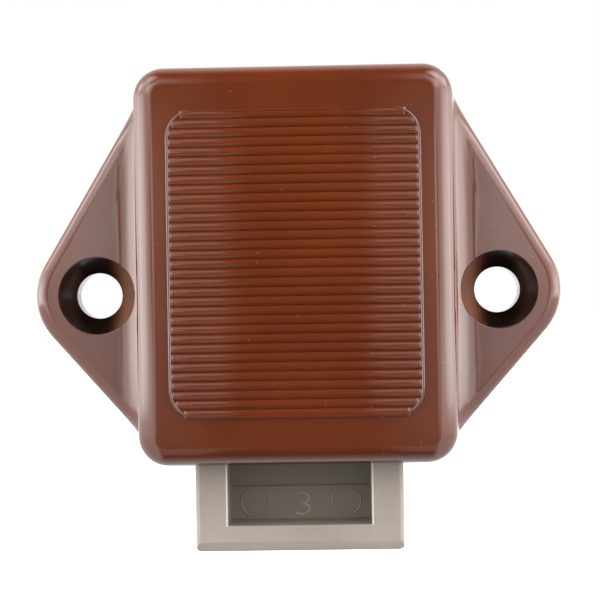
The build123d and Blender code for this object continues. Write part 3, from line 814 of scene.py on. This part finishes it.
for name in ("base_plate", "base_plate_screws"):
    dress_node(name, zinc_plate)
for name in ("drive_pin", "button_stem"):
    dress_node(name, ground_steel)
for name in ("detent_wire", "detent_leaf_spring"):
    dress_node(name, drawn_wire)
dress_node("plunger", beige_nylon)
print("steels", zinc_plate.name, ground_steel.name, drawn_wire.name)

# %% [markdown]
# The barrel is a steel tube, swaged into the plate at its neck. A bump texture could fake its thread, but
# the outline would stay smooth, so the thread is worked out round the tube: the radius falls from crest to
# root and back as a triangle wave that moves on by one pitch in each turn.

# %% Threaded barrel
BARREL_R, BARREL_BORE_R, NECK_R, BARREL_LENGTH, PLATE = 9.0, 7.2, 8.0, 12.0, 1.2
THREAD_PITCH, THREAD_DEPTH, THREAD_ROWS, BARREL_STEPS = 1.0, 0.38, 118, 96
THREAD_START, THREAD_END, RUN_OUT, LEAD_IN = 0.4, BARREL_LENGTH - 0.2, 0.6, 0.6
barrel_turn = np.linspace(0, 2 * pi, BARREL_STEPS, endpoint=False)
barrel_rows = [(BARREL_BORE_R, BARREL_LENGTH), (BARREL_BORE_R, -PLATE), (NECK_R, -PLATE), (NECK_R, 0.0)]
barrel_rows += [(BARREL_R, 0.0)]
barrel_grid = [(np.full(BARREL_STEPS, r), y) for r, y in barrel_rows]
for y in np.linspace(THREAD_START, THREAD_END, THREAD_ROWS):
    wave = np.abs(((y / THREAD_PITCH - barrel_turn / (2 * pi)) % 1) * 2 - 1)
    fade = np.clip(min(y - THREAD_START, THREAD_END - y) / RUN_OUT, 0, 1)
    lead_in = max(y - (BARREL_LENGTH - LEAD_IN), 0)
    barrel_grid.append((BARREL_R - THREAD_DEPTH * (1 - wave) * fade - lead_in, y))
barrel_grid.append((np.full(BARREL_STEPS, BARREL_R - LEAD_IN), BARREL_LENGTH))
barrel_rings = [
    np.stack([r * np.cos(barrel_turn), np.full(BARREL_STEPS, y), r * np.sin(barrel_turn)], 1)
    for r, y in barrel_grid
]
barrel_points = np.concatenate(barrel_rings)
barrel_faces = grid_faces(len(barrel_grid), BARREL_STEPS, True, True)
barrel = piece_from("barrel_thread", barrel_points, barrel_faces, zinc_plate, "root", crisp=50)
face_outwards(barrel)
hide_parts("threaded_barrel")
print("barrel", len(barrel_points), "points")

# %% [markdown]
# Two springs push the bolt up by its lugs. Each is a circle carried along a helix, and its ends lie flat.
# A curve with a round bevel could draw it too. Here the wire and its flat ends follow from a few numbers.

# %% Bolt springs
SPRING_X, SPRING_Y, SPRING_LOW, SPRING_HIGH = 11.5, -5.2, -11.25, 5.75
COIL_R, WIRE_R, TURNS, FLAT_TURNS = 1.375, 0.225, 8, 0.75
TURN_STEPS, COIL_SIDES = 22, 8


def coil_points(side):
    """The spring's tube: rings of points square to a helix that starts and ends with a flat part turn."""
    t = np.linspace(0, TURNS, TURNS * TURN_STEPS + 1)
    rise = np.clip((t - FLAT_TURNS) / (TURNS - 2 * FLAT_TURNS), 0, 1)
    z = SPRING_LOW + WIRE_R + (SPRING_HIGH - SPRING_LOW - 2 * WIRE_R) * rise
    path = np.stack([COIL_R * np.cos(2 * pi * t), COIL_R * np.sin(2 * pi * t), z], 1)
    along = np.gradient(path, axis=0)
    along /= np.linalg.norm(along, axis=1)[:, None]
    outward = np.stack([np.cos(2 * pi * t), np.sin(2 * pi * t), np.zeros_like(t)], 1)
    across = np.cross(along, outward)
    ring = np.linspace(0, 2 * pi, COIL_SIDES, endpoint=False)[None, :, None]
    tube = path[:, None] + WIRE_R * (np.cos(ring) * outward[:, None] + np.sin(ring) * across[:, None])
    return tube.reshape(-1, 3) + [side * SPRING_X, SPRING_Y, 0], len(t)


for side, name in ((1, "right"), (-1, "left")):
    points, count = coil_points(side)
    coil_faces = grid_faces(count, COIL_SIDES, False, True).tolist()
    coil_faces += [list(range(COIL_SIDES))[::-1], list(range((count - 1) * COIL_SIDES, count * COIL_SIDES))]
    coil = piece_from(f"spring_coil_{name}", points, coil_faces, drawn_wire, "root")
    face_outwards(coil)
    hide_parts(f"bolt_spring_{name}")
print("coils", count, "rings each")

# %% [markdown]
# The pocket's floor shows how the bolt was moulded: two round marks where pins pushed it out of the mould,
# and a small raised figure that numbers the cavity. The figure here is a plain 3, drawn as two arcs.
# A texture could draw them too, but as shapes they catch the light and stay sharp close up.

# %% Mould marks
def tube_along(path, radius, sides=8):
    """A round tube along a path that lies in the X and Z plane, with flat ends."""
    path = np.asarray(path, float)
    along = np.gradient(path, axis=0)
    along /= np.linalg.norm(along, axis=1)[:, None]
    across = np.stack([-along[:, 2], np.zeros(len(path)), along[:, 0]], 1)
    ring = np.linspace(0, 2 * pi, sides, endpoint=False)[None, :, None]
    tube = path[:, None] + radius * (np.cos(ring) * across[:, None] + np.sin(ring) * np.array([0, 1, 0]))
    faces = grid_faces(len(path), sides, False, True).tolist()
    faces += [list(range(sides))[::-1], list(range((len(path) - 1) * sides, len(path) * sides))]
    return tube.reshape(-1, 3), faces


EJECTOR_R, EJECTOR_X, EJECTOR_Z = 1.35, 4.4, pocket_low + 1.6
RIDGE, RIDGE_SUNK, RIDGE_SIDES, RIDGE_STEPS = 0.1, 0.02, 8, 56
section = np.linspace(0, 2 * pi, RIDGE_SIDES, endpoint=False)
turn = np.linspace(0, 2 * pi, RIDGE_STEPS, endpoint=False)
ridge_faces = grid_faces(RIDGE_SIDES, RIDGE_STEPS, True, True)
for side, name in ((1, "right"), (-1, "left")):
    centre = [side * EJECTOR_X, pocket_floor + RIDGE_SUNK, EJECTOR_Z]
    profile = zip(EJECTOR_R + RIDGE * np.cos(section), RIDGE * np.sin(section))
    rings = [np.stack([r * np.cos(turn), np.full_like(turn, y), r * np.sin(turn)], 1) for r, y in profile]
    points = centre + np.concatenate(rings)
    mark = piece_from(f"ejector_ridge_{name}", points, ridge_faces, beige_nylon, "bolt")
    face_outwards(mark)
    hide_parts("latch_bolt")

FIGURE_X, FIGURE_Z, FIGURE_WIDTH, FIGURE_HEIGHT, FIGURE_LINE = 0.1, -20.2, 1.4, 2.1, 0.11
bowl = np.radians(np.linspace(140, -90, 22))
upper_bowl = [(0.46 * FIGURE_WIDTH * np.cos(t), 0.25 * FIGURE_HEIGHT * (1 + np.sin(t))) for t in bowl]
lower_bowl = [(0.5 * FIGURE_WIDTH * np.cos(t), -0.25 * FIGURE_HEIGHT * (1 + np.sin(t))) for t in bowl]
stroke = upper_bowl + lower_bowl[::-1][1:]
figure_path = [(FIGURE_X + x, pocket_floor + RIDGE_SUNK, FIGURE_Z + z) for x, z in stroke]
points, faces = tube_along(figure_path, FIGURE_LINE)
figure = piece_from("cavity_figure", points, faces, raised_nylon, "bolt")
face_outwards(figure)
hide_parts("latch_bolt")
print("figure", len(points), "points")

# %% [markdown]
# The camera stands 150 mm in front of the ears and 3.4 mm to the right of the middle. The photograph shows
# this: the face has moved to the left against the ears. It turns by about one degree to centre the lock.
# The lock leans by about one degree in the picture, so the camera leans the other way.

# %% Camera
PHOTO_SIDE = 600
FOCAL_PX = 1567.0
SENSOR_MM = 36.0
camera_data = bpy.data.cameras.new("camera")
camera = bpy.data.objects.new("camera", camera_data)
bpy.context.scene.collection.objects.link(camera)
camera.location = (3.44 * MM, -154.2 * MM, -1.19 * MM)
camera.rotation_euler = (radians(90.18), radians(0.94), radians(1.23))
camera_data.sensor_width = SENSOR_MM
camera_data.lens = FOCAL_PX / PHOTO_SIDE * SENSOR_MM
camera_data.clip_start = 0.01
bpy.context.scene.camera = camera
print("lens", round(camera_data.lens, 1), "mm")

# %% [markdown]
# The light is a soft studio set-up of lamps in left and right pairs, whose strengths follow the photograph.
# The glossy brown shows a lamp as a mirror does, so each one stands where a surface mirrors it: strips for
# the case's sides, rear ones for its steep walls, high ones for the corners and the rims of the ears, and
# small ones beside the lens for the flat ears and the flat frame of the face.
# The large lamps fade towards their edges, so that no hard line shows in the rounded edges.
# The reeds mirror two tall lamps with sharp upright sides. Their outer parts are pale with them, and the gap
# between the two keeps the middle dark.

# %% Lights
LAMP_TINT = (1.0, 0.98, 0.96)
AIM_Y = -10


def panel(name, centre, size, radiance, soft=None, straight=False):
    """A rectangular light that faces the lock, in millimetres. Soft ones fade from the middle to the edges.

    The fade is (1 - |u|^soft[0]) * (1 - |v|^soft[1]), and u and v run from -1 to 1 across and up the panel.
    A straight panel isn't turned left or right, so that its sides stay upright.
    """
    data = bpy.data.lights.new(name, "AREA")
    data.shape = "RECTANGLE"
    data.size, data.size_y = size[0] * MM, size[1] * MM
    data.energy = radiance * pi * data.size * data.size_y
    data.color = LAMP_TINT
    lamp = bpy.data.objects.new(name, data)
    bpy.context.scene.collection.objects.link(lamp)
    lamp.location = [c * MM for c in centre]
    ahead = Vector([0 if straight else -centre[0], AIM_Y - centre[1], -centre[2]])
    turned_to = ahead.to_track_quat("-Z", "Y")
    lamp.rotation_euler = turned_to.to_euler()
    if soft:
        data.use_nodes = True
        tree = data.node_tree
        spot = add(tree, "ShaderNodeNewGeometry").outputs["Position"]
        from_centre = add(tree, "ShaderNodeVectorMath", [spot, lamp.location], operation="SUBTRACT")
        strength = 1.0
        for axis, side, power in (((1, 0, 0), data.size, soft[0]), ((0, 1, 0), data.size_y, soft[1])):
            across = turned_to @ Vector(axis) * (2 / side)
            along = add(tree, "ShaderNodeVectorMath", [from_centre, across], operation="DOT_PRODUCT")
            far = add(tree, "ShaderNodeMath", [along], operation="ABSOLUTE")
            steep = add(tree, "ShaderNodeMath", [far, power], operation="POWER")
            fade = add(tree, "ShaderNodeMath", [1.0, steep], operation="SUBTRACT")
            strength = add(tree, "ShaderNodeMath", [fade, strength], operation="MULTIPLY")
        feed(tree, tree.nodes["Emission"].inputs["Strength"], strength)
    return lamp


BROAD_PANELS = {
    "left_strip": ((-308, -106, 22), (420, 180), 5.4),
    "right_strip": ((298, -106, 22), (420, 180), 5.0),
    "left_rear": ((-292, 78, 20), (310, 220), 2.2),
    "right_rear": ((282, 78, 20), (310, 220), 2.0),
    "left_middle": ((-152, -225, 20), (135, 160), 1.8),
    "right_middle": ((142, -225, 20), (135, 160), 1.8),
    "left_fill": ((-150, -230, 130), (160, 130), 3.8),
    "right_fill": ((140, -230, 130), (160, 130), 3.8),
    "left_top": ((-180, -120, 250), (240, 220), 3.0),
    "right_top": ((170, -120, 250), (240, 220), 3.4),
    "left_shoulder": ((-225, -60, 175), (320, 280), 1.6),
    "right_shoulder": ((215, -60, 175), (320, 280), 3.0),
    "left_rim": ((-270, -10, 150), (200, 150), 3.4),
    "right_rim": ((260, -10, 150), (200, 150), 2.6),
    "left_high": ((-215, -150, 120), (200, 130), 1.9),
    "right_high": ((205, -150, 120), (200, 130), 1.7),
    "left_gap": ((-92, -240, 66), (80, 70), 2.0),
    "right_gap": ((82, -240, 66), (80, 70), 1.8),
}
NEAR_PANELS = {
    "left_ear_panel": ((-62, -250, 5), (30, 76), 1.45),
    "right_ear_panel": ((53, -250, 5), (31, 76), 1.65),
    "left_ear_upper": ((-62, -248, 25), (30, 40), 0.8),
    "right_ear_upper": ((53, -248, 25), (31, 40), 0.75),
    "left_near": ((-35, -250, 8), (14, 84), 0.3),
    "right_near": ((22.5, -250, 8), (9, 84), 0.42),
    "right_near_dim": ((32, -250, 8), (10, 84), 0.2),
}
REED_PANELS = {
    "left_reed_panel": ((-58, -193, 140), (56, 170), 1.15),
    "right_reed_panel": ((50, -193, 140), (56, 170), 1.15),
}
for name, place in BROAD_PANELS.items():
    panel(name, *place, soft=(2, 2))
for name, place in NEAR_PANELS.items():
    panel(name, *place)
for name, place in REED_PANELS.items():
    panel(name, *place, soft=(40, 2), straight=True)
print("lamps", len(BROAD_PANELS) + len(NEAR_PANELS) + len(REED_PANELS))

# %% [markdown]
# The lock hangs in front of a white world. The camera sees it white all over. A reflection or bounced light
# meets it bright behind the lock and dim in front of it, so that the brown isn't washed out.

# %% White background
DIM, BEHIND = 0.02, 1.2
BEHIND_FROM, BEHIND_TO = -0.3, 0.5
world = bpy.data.worlds.new("studio")
bpy.context.scene.world = world
world.use_nodes = True
sky = world.node_tree
direction = add(sky, "ShaderNodeTexCoord").outputs["Generated"]
split = add(sky, "ShaderNodeSeparateXYZ", [direction]).outputs
step = [split["Y"], BEHIND_FROM, BEHIND_TO, DIM, BEHIND]
behind = add(sky, "ShaderNodeMapRange", step, interpolation_type="SMOOTHSTEP")
rays = add(sky, "ShaderNodeLightPath").outputs
level = add(sky, "ShaderNodeMix", {"Factor": rays["Is Camera Ray"], "A": behind, "B": 1.0})
backdrop = sky.nodes["Background"]
backdrop.inputs["Color"].default_value = (1, 1, 1, 1)
feed(sky, backdrop.inputs["Strength"], level)
print("world", DIM, "to", BEHIND)

# %% [markdown]
# The floor is matt white paper below the lock. The camera sees it white, with a faint shadow.
# Glossy surfaces mirror it brightly behind the lock, and in two bands in front on both sides of the bolt,
# which light the corners of the case's lower edge. Elsewhere they mirror it dark, and light that bounces
# off it finds it grey, so that the underside keeps its depth.

# %% Floor
EAR_SHINE_X, EAR_SHINE_SLOPE = 18, 4.0
BACK_FROM_Y, BACK_TO_Y, BACK_SHINE = -28, -4, 1.3
BAND_FROM_X, BAND_TO_X, BAND_SHINE = 9.5, 12, 0.45
BAND_NEAR_Y, BAND_FAR_Y = (-26, -34), (-120, -80)
SEEN_FROM_M, SEEN_TO_M, SEEN_LOW = 0.05, 0.3, 0.75
PAPER_SEEN, PAPER_MIRRORED, PAPER_BOUNCED = "#f4f4f4", "#101010", "#787878"
FLOOR_Z, FLOOR_HALF = -34.0, 3000.0

floor_white, paper, floor_shader = new_material("matt_white_paper")
floor_shader.inputs["Roughness"].default_value = 0.9
place = add(paper, "ShaderNodeTexCoord").outputs["Object"]
reach = add(paper, "ShaderNodeVectorMath", [place], operation="LENGTH")
split = add(paper, "ShaderNodeSeparateXYZ", [place]).outputs
aside = add(paper, "ShaderNodeMath", [split["X"]], operation="ABSOLUTE")
past_ear = add(paper, "ShaderNodeMath", [aside, EAR_SHINE_X * MM], operation="SUBTRACT")
beyond = add(paper, "ShaderNodeMath", [past_ear, 0.0], operation="MAXIMUM")
depth = add(paper, "ShaderNodeMath", [beyond, EAR_SHINE_SLOPE, split["Y"]], operation="MULTIPLY_ADD")
back_shine = soft_mask(paper, [(depth, BACK_FROM_Y, BACK_TO_Y)], BACK_SHINE)
bands = [(aside, BAND_FROM_X, BAND_TO_X), (split["Y"], *BAND_NEAR_Y), (split["Y"], *BAND_FAR_Y)]
side_shine = soft_mask(paper, bands, BAND_SHINE)

rays = add(paper, "ShaderNodeLightPath").outputs
mirrors = [rays["Is Glossy Ray"], rays["Is Transmission Ray"]]
mirrored = add(paper, "ShaderNodeMath", mirrors, operation="MAXIMUM")
brighter = add(paper, "ShaderNodeMath", [back_shine, side_shine], operation="MAXIMUM")
shine = add(paper, "ShaderNodeMath", [mirrored, brighter], operation="MULTIPLY")
sweep = add(paper, "ShaderNodeMapRange", [reach, SEEN_FROM_M, SEEN_TO_M, SEEN_LOW, 1.0])
seen = add(paper, "ShaderNodeMath", [rays["Is Camera Ray"], sweep], operation="MULTIPLY")
glow = add(paper, "ShaderNodeMath", [seen, shine], operation="MAXIMUM")
tones = [(rays["Is Diffuse Ray"], PAPER_BOUNCED), (rays["Is Camera Ray"], PAPER_SEEN)]
feed(paper, floor_shader.inputs["Base Color"], lay_over(paper, linear(PAPER_MIRRORED), tones))
floor_shader.inputs["Emission Color"].default_value = (1, 1, 1, 1)
feed(paper, floor_shader.inputs["Emission Strength"], glow)

floor_mesh = bpy.data.meshes.new("floor")
edge = FLOOR_HALF * MM
corners = [(x * edge, y * edge, FLOOR_Z * MM) for x, y in ((-1, -1), (1, -1), (1, 1), (-1, 1))]
floor_mesh.from_pydata(corners, [], [(0, 1, 2, 3)])
floor_mesh.materials.append(floor_white)
floor = bpy.data.objects.new("floor", floor_mesh)
bpy.context.scene.collection.objects.link(floor)
bpy.context.scene.view_settings.view_transform = "Standard"
print("floor", FLOOR_Z, "mm")
